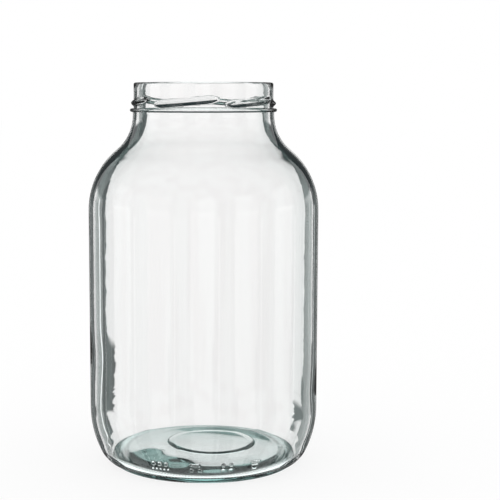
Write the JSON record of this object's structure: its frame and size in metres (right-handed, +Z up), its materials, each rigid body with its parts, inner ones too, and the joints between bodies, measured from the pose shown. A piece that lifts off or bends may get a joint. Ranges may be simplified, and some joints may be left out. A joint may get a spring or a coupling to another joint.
{
  "type": "storage jar",
  "caption": "Empty wide-mouth storage jar in clear, faintly aqua glass, with an interrupted screw finish, a bead below it, round shoulders and a domed floor.",
  "frame": {"origin": "centre of the circle that the jar stands on, in the plane of its bearing ring", "axes": "+Z up along the jar's axis; -Y is the front, where the marks on the heel are; +X is to the right of someone facing it"},
  "size_m": [0.16, 0.16, 0.266],
  "materials": {
    "glass": "clear moulded glass, smooth, with a faint aqua tint where it is thick"
  },
  "bodies": {
    "root": {"jar": "glass"}
  },
  "joints": []
}
